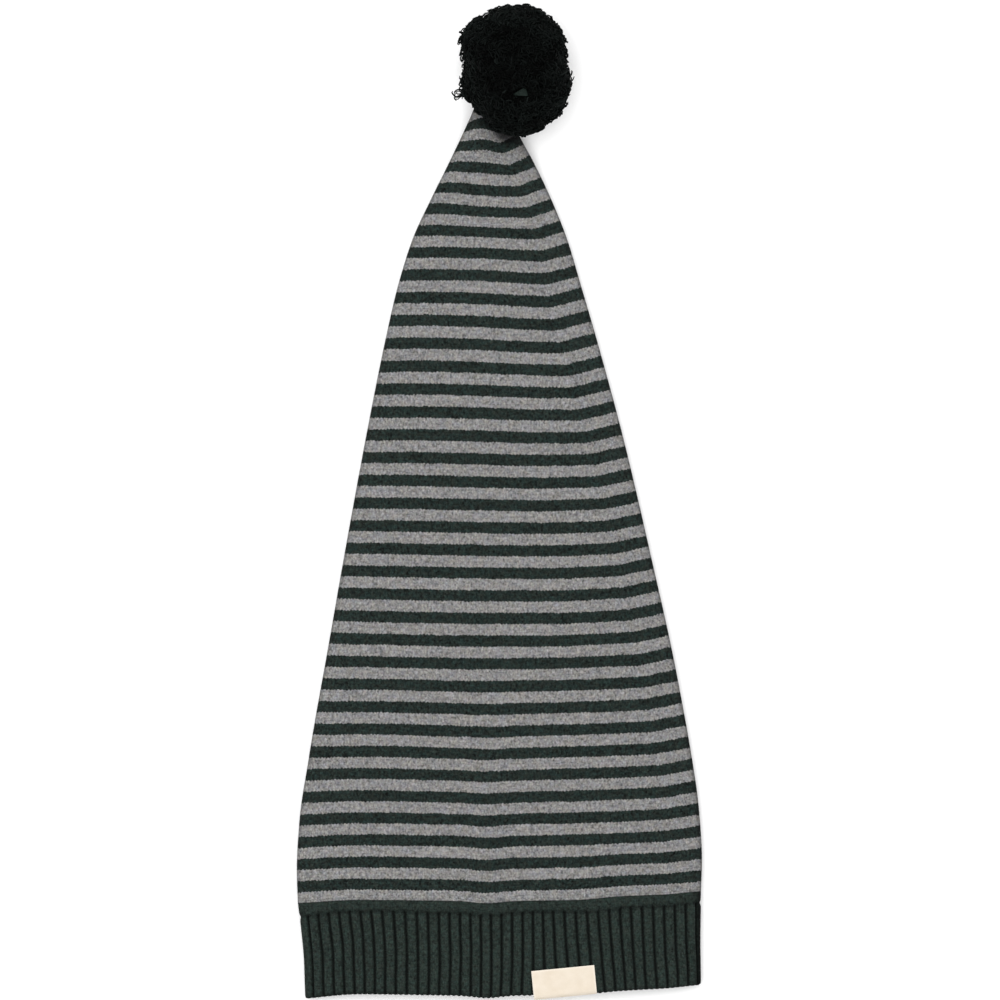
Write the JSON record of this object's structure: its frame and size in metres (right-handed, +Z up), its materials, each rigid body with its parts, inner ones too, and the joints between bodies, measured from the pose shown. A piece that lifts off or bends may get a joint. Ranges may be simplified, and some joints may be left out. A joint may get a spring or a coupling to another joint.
{
  "type": "elf hat",
  "caption": "Long knitted elf hat lying flat: a hollow striped cone with a ribbed band round its open mouth, a bare folded label and a yarn pompom on the tip.",
  "frame": {"origin": "The middle of the hat's underside, on the surface that it lies on.", "axes": "+Y runs along the hat from its open mouth to the pompom, +X to the right as seen from above, and +Z up through the flattened hat."},
  "size_m": [0.2026, 0.4982, 0.0555],
  "materials": {
    "striped_knit": "fine knit with level stripes of mid grey melange and blackish green yarn",
    "dark_rib_knit": "blackish green ribbed knit, matt",
    "woven_label": "cream woven cotton tape, matt, bare",
    "pompom_yarn": "black cut yarn, dense and matt"
  },
  "bodies": {
    "root": {"crown": "striped_knit", "rib_band": "dark_rib_knit", "label": "woven_label", "pompom": "pompom_yarn"}
  },
  "joints": []
}
